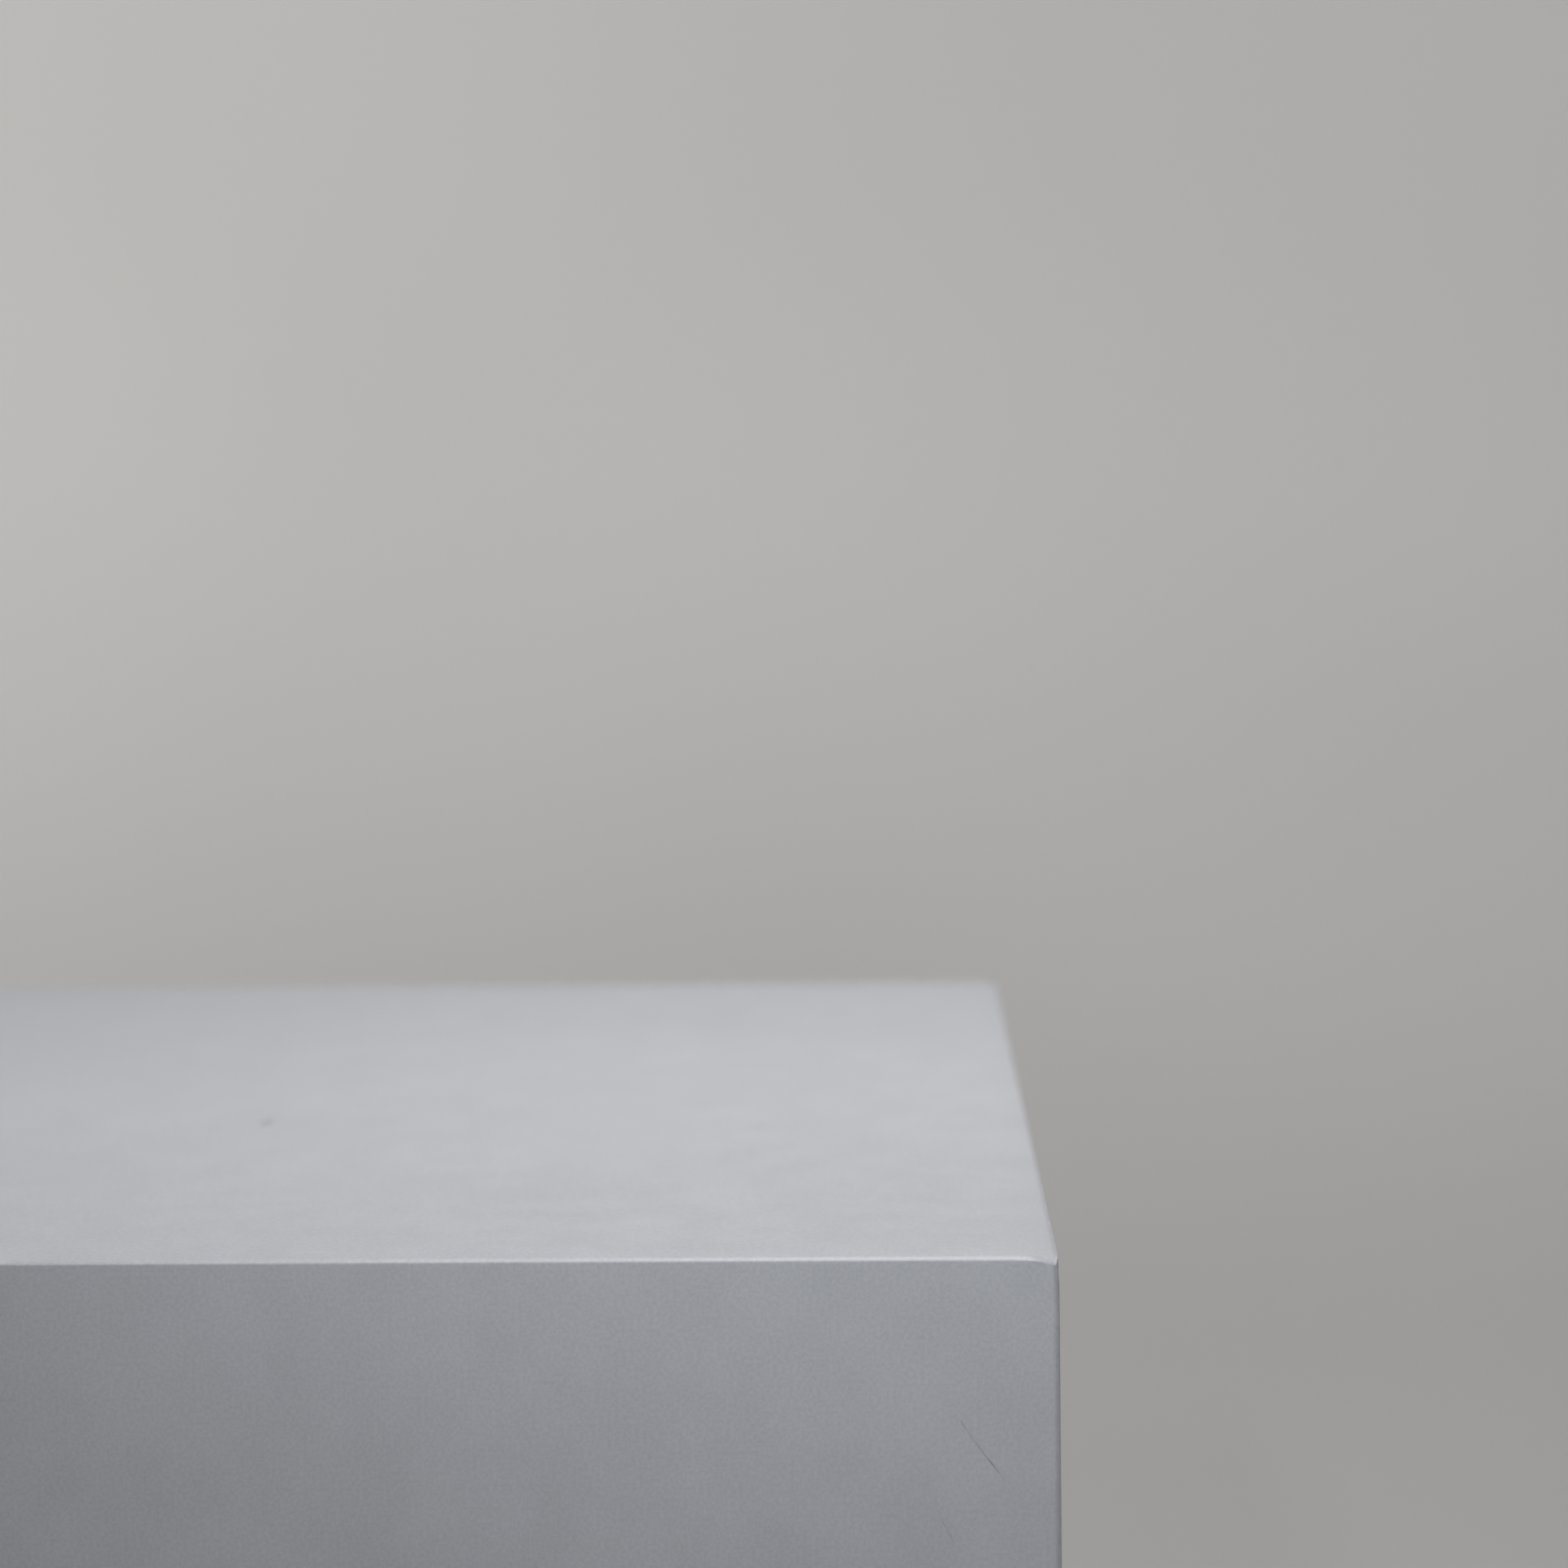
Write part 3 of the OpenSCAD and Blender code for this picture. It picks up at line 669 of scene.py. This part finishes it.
def make_felt(corner):
    """A felt disc, pressed a little thinner at its rim, with an uneven cut edge."""
    node = "foot_felt_" + corner
    low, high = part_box(node)
    centre, radius, thick = (low + high) / 2, (high.x - low.x) / 2, high.z - low.z
    profile = [(0.0, 0.0), (0.55, 0.0), (0.90, 0.0), (0.965, 0.06), (0.99, 0.22), (1.0, 0.5),
               (0.992, 0.78), (0.97, 0.95), (0.90, 1.0), (0.55, 1.0), (0.0, 1.0)]
    steps = 96
    rim_from, raggedness = 0.9, 0.012
    bm = bmesh.new()
    rings = []
    for share, level in profile:
        ring = []
        for i in range(steps if share else 1):
            x, y = math.cos(math.tau * i / steps), math.sin(math.tau * i / steps)
            wave = 0.5 + 0.5 * noise.noise(Vector((x * 9, y * 9, level * 2 + centre.x)))
            reach = radius * share * (1 - raggedness * wave if share > rim_from else 1.0)
            spot = (centre.x + reach * x, centre.y + reach * y, low.z + thick * level)
            ring.append(bm.verts.new(spot))
        rings.append(ring)
    for inner, outer in zip(rings, rings[1:]):
        for i in range(steps):
            j = (i + 1) % steps
            near_side = [inner[i % len(inner)], outer[i % len(outer)]]
            far_side = [outer[j % len(outer)], inner[j % len(inner)]]
            # a ring of one vertex is a disc's middle, which its faces have once
            unique = list(dict.fromkeys(near_side + far_side))
            bm.faces.new(unique).smooth = True
    bmesh.ops.recalc_face_normals(bm, faces=bm.faces)
    stand_in(finish_mesh("felt_disc_" + corner, bm, (FELT,)), node)


# The M10 x 1.5 stem's thread, as (share of the pitch, 0 for a root or 1 for a crest), and its nut
PITCH, ROOT_R, CREST_R = 1.5 * MM, 4.03 * MM, 4.95 * MM
THREAD_PROFILE = ((0.0, 0), (0.25, 0), (0.5625, 1), (0.6875, 1))
NUT_GAP, NUT_H = 0.2 * MM, 6 * MM
STEM_STEPS = 48


def stem_rings(low, pad_top):
    """The bead, neck and hexagonal nut, as rings of (radius, height), from the bottom up."""
    bead_r, bead_h, bead_chamfer, neck_r = 4.8 * MM, 2 * MM, 0.4 * MM, 3.75 * MM
    bead_upper_chamfer = 0.3 * MM
    nut_low = pad_top + NUT_GAP
    nut_high = nut_low + NUT_H
    flat_r, face_r = 7 * MM, 6.75 * MM
    sixth = math.tau / 6
    angles = [math.tau * i / STEM_STEPS for i in range(STEM_STEPS)]
    hexagon = [flat_r / math.cos(angle % sixth - sixth / 2) for angle in angles]
    slope = math.tan(math.pi / 6)
    plain = (
        (bead_r - bead_chamfer, low),
        (bead_r, low + bead_chamfer),
        (bead_r, low + bead_h - bead_upper_chamfer),
        (bead_r - bead_upper_chamfer, low + bead_h),
        (neck_r, low + bead_h),
        (neck_r, nut_low),
        (face_r, nut_low),
    )
    return [[spot] * STEM_STEPS for spot in plain] + [
        [(r, nut_low + (r - face_r) * slope) for r in hexagon],
        [(r, nut_high - (r - face_r) * slope) for r in hexagon],
        [(face_r, nut_high)] * STEM_STEPS,
        [(ROOT_R, nut_high)] * STEM_STEPS,
    ]


def thread_rows(low, high):
    """One thread as helical rows of (radius, height at angle 0), shallow at both ends."""
    rows = []
    for turn in range(math.floor((high - low) / PITCH) - 1):
        for share, crest in THREAD_PROFILE:
            height = low + PITCH * (turn + share)
            depth = min(1.0, (height - low) / PITCH, (high - PITCH - height) / PITCH)
            rows.append((ROOT_R + (CREST_R - ROOT_R) * crest * max(0.0, depth), height))
    return rows


def add_ring(bm, shape):
    """A ring of vertices round the z axis, from a (radius, height) for each angle."""
    angles = [math.tau * i / len(shape) for i in range(len(shape))]
    return [bm.verts.new((r * math.cos(a), r * math.sin(a), z)) for a, (r, z) in zip(angles, shape)]


def join_rings(bm, lower, upper):
    """One band of faces between two rings."""
    for i in range(len(lower)):
        j = (i + 1) % len(lower)
        bm.faces.new((lower[i], lower[j], upper[j], upper[i]))


def add_thread(bm, start, end, rows):
    """The thread's surface between two plain rings.

    A row's end meets the start of the row one turn above it, so only the end turns need closing.
    """
    lift = PITCH / STEM_STEPS
    grid = [add_ring(bm, [(r, z + lift * i) for i in range(STEM_STEPS)]) for r, z in rows]
    a_turn = len(THREAD_PROFILE)
    for number, (lower, upper) in enumerate(zip(grid, grid[1:])):
        for i in range(STEM_STEPS - 1):
            bm.faces.new((lower[i], lower[i + 1], upper[i + 1], upper[i]))
        if number + 1 + a_turn < len(grid):
            next_lower, next_upper = grid[number + a_turn], grid[number + 1 + a_turn]
            bm.faces.new((lower[-1], next_lower[0], next_upper[0], upper[-1]))
    first, last = grid[0], grid[-1]
    for i in range(STEM_STEPS - 1):
        bm.faces.new((start[i], start[i + 1], first[i + 1], first[i]))
        bm.faces.new((last[i], last[i + 1], end[i + 1], end[i]))
    bm.faces.new([start[-1], start[0]] + [row[0] for row in grid[:a_turn + 1]] + [first[-1]])
    bm.faces.new([row[-1] for row in grid[-1 - a_turn:]] + [end[-1], end[0], last[0]])


def make_stem_mesh(low, pad_top, high):
    """A stem round the z axis: bead, neck, chamfered nut, screw thread and chamfered end."""
    bm = bmesh.new()
    end_r, end_chamfer = 3.75 * MM, 0.6 * MM
    run_out, run_in = 1.4 * MM, 0.3 * MM  # how far the thread stays clear of the end and of the nut
    sharp_angle = math.radians(28)
    rings = [add_ring(bm, shape) for shape in stem_rings(low, pad_top)]
    bm.faces.new(rings[0][::-1])
    for lower, upper in zip(rings, rings[1:]):
        join_rings(bm, lower, upper)
    end = add_ring(bm, [(ROOT_R, high - end_chamfer)] * STEM_STEPS)
    add_thread(bm, rings[-1], end, thread_rows(pad_top + NUT_GAP + NUT_H + run_in, high - run_out))
    tip = add_ring(bm, [(end_r, high)] * STEM_STEPS)
    join_rings(bm, end, tip)
    bm.faces.new(tip)
    bmesh.ops.recalc_face_normals(bm, faces=bm.faces)
    for face in bm.faces:
        face.smooth = True
    for edge in bm.edges:
        edge.smooth = edge.calc_face_angle(0.0) < sharp_angle
    return bm


def cut_slot(piece, high):
    """The screwdriver slot across the stem's top end."""
    slot_w, slot_depth, slot_length = 1.6 * MM, 2.5 * MM, 14 * MM
    bm = bmesh.new()
    bmesh.ops.create_cube(bm, size=1.0)
    bmesh.ops.scale(bm, verts=bm.verts, vec=(slot_length, slot_w, 2 * slot_depth))
    bmesh.ops.translate(bm, verts=bm.verts, vec=(0, 0, high))
    cutter = finish_mesh("slot_cutter", bm, ())
    cut = piece.modifiers.new("slot", "BOOLEAN")
    cut.operation, cut.solver, cut.object = "DIFFERENCE", "EXACT", cutter
    evaluated = piece.evaluated_get(bpy.context.evaluated_depsgraph_get())
    shape = bpy.data.meshes.new_from_object(evaluated)
    piece.modifiers.clear()
    bpy.data.objects.remove(cutter)
    piece.data = shape


def make_stems():
    """The four threaded stems, alike apart from their places."""
    for corner in FOOT_CORNERS:
        node = "foot_stem_" + corner
        (low, high), pad_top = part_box(node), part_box("foot_pad_" + corner)[1].z
        centre = (low + high) / 2
        bm = make_stem_mesh(low.z, pad_top, high.z)
        piece = finish_mesh("threaded_stem_" + corner, bm, (ZINC,))
        cut_slot(piece, high.z)
        piece.data.transform(Matrix.Translation((centre.x, centre.y, 0)))
        stand_in(piece, node)


def dress(node, material):
    """Gives a CAD node its material."""
    mesh = frame["nodes"][node].data
    mesh.materials.clear()
    mesh.materials.append(material)


def dress_frame():
    """Every CAD node's material, with the grain of each rail and cleat along its length."""
    along = {"front": 0, "back": 0, "left": 1, "right": 1}
    by_slot = {
        "beech": BEECH, "zinc_steel": ZINC, "black_nylon": NYLON,
        "painted_mdf": PAINTED, "grey_felt": FELT,
    }
    plies = {"base_board": 13, "stiffening_shelf": 9}
    for row in frame["record"]["subparts"]:
        node, slot = row["node"], row["material_slot"]
        if slot == "softwood":
            axis = 2 if node.startswith("post") else along.get(node.rsplit("_", 1)[-1], 0)
            dress(node, PINE[axis])
        elif slot == "birch_plywood":
            dress(node, plywood_material(node, plies[node]))
        else:
            dress(node, by_slot[slot])


make_panels()
dress_frame()
make_stems()
for corner_name in FOOT_CORNERS:
    make_felt(corner_name)


# ---------- Stage ----------

def make_bowl():
    """One seamless round backdrop: a flat floor that curves up into a wall on every side."""
    steps, curve_steps = 128, 16
    profile = [(r, 0.0) for r in (0.6, 1.5, 3.0, BOWL_FLOOR_R)]
    for i in range(1, curve_steps + 1):
        angle = math.pi / 2 * i / curve_steps
        out, up = math.sin(angle), 1 - math.cos(angle)
        profile.append((BOWL_FLOOR_R + BOWL_CURVE_R * out, BOWL_CURVE_R * up))
    profile.append((BOWL_FLOOR_R + BOWL_CURVE_R, BOWL_WALL_H))
    bm = bmesh.new()
    rings = [add_ring(bm, [spot] * steps) for spot in profile]
    bm.faces.new(rings[0])
    for inner, outer in zip(rings, rings[1:]):
        join_rings(bm, inner, outer)
    for face in bm.faces:
        face.smooth = True
    bmesh.ops.recalc_face_normals(bm, faces=bm.faces)
    finish_mesh("studio_bowl", bm, (backdrop_material(),))


def aim(thing, place, target):
    """Puts a light at a place and points it at a target."""
    thing.location = place
    thing.rotation_euler = (Vector(target) - Vector(place)).to_track_quat("-Z", "Y").to_euler()


def make_light(name, kind, place, target, watts, colour, **settings):
    data = bpy.data.lights.new(name, kind)
    data.energy = watts
    data.color = colour
    for key, value in settings.items():
        setattr(data, key, value)
    light = bpy.data.objects.new(name, data)
    bpy.context.scene.collection.objects.link(light)
    aim(light, place, target)


# Strength of the world's fill, and watts of the lights
FILL = 0.284
CEILING_W = 10.5
SPOT_W = 113.0
KEY_W = 19.4
COOL, WARM = (0.95, 0.98, 1.0), (1.0, 0.975, 0.94)


def make_lights():
    """A soft fill, a ceiling panel, a wide key from the front left and a spot on the corner."""
    world = bpy.data.worlds.new("soft_fill")
    bpy.context.scene.world = world
    world.use_nodes = True
    background = world.node_tree.nodes["Background"]
    background.inputs["Color"].default_value = (*COOL, 1.0)
    background.inputs["Strength"].default_value = FILL
    make_light("ceiling", "AREA", (0.32, 0.02, 2.05), (0.30, 0.02, 1.0), CEILING_W, WARM,
               shape="SQUARE", size=0.5)
    make_light("key", "AREA", (-1.7, -4.2, 2.4), (0.0, -0.3, 0.7), KEY_W, COOL,
               shape="SQUARE", size=1.6)
    spot_place = CORNER + Vector((-0.35, -2.2, 0.75))
    spot_target = CORNER + Vector((-0.03, 0.0, 0.234))
    make_light("gallery_spot", "SPOT", spot_place, spot_target, SPOT_W, (0.955, 0.98, 1.0),
               spot_size=math.radians(17.8), spot_blend=1.0, shadow_soft_size=0.06)


def make_camera():
    """In front of the upper right corner and above it, turned a little left and down."""
    place = CORNER + Vector((-0.0286, -0.7379, 0.1304))
    turn, tilt, roll = math.radians(2.233), math.radians(2.326), math.radians(0.667)
    data = bpy.data.cameras.new("camera")
    data.sensor_width = 36.0
    data.lens = 80.12
    data.clip_start = 0.05
    camera = bpy.data.objects.new("camera", data)
    bpy.context.scene.collection.objects.link(camera)
    level = Matrix.Rotation(math.pi / 2, 4, "X")
    camera.matrix_world = (
        Matrix.Translation(place)
        @ Matrix.Rotation(turn, 4, "Z")
        @ Matrix.Rotation(-tilt, 4, "X")
        @ level
        @ Matrix.Rotation(-roll, 4, "Z")
    )
    focus = bpy.data.objects.new("focus_place", None)
    bpy.context.scene.collection.objects.link(focus)
    focus.location = CORNER + Vector((-0.06, 0.015, -0.03))
    data.dof.use_dof = True
    data.dof.focus_object = focus
    lens_opening_mm = 8.5
    data.dof.aperture_fstop = data.lens / lens_opening_mm
    bpy.context.scene.camera = camera


make_bowl()
make_lights()
make_camera()
bpy.context.scene.view_settings.view_transform = "Standard"
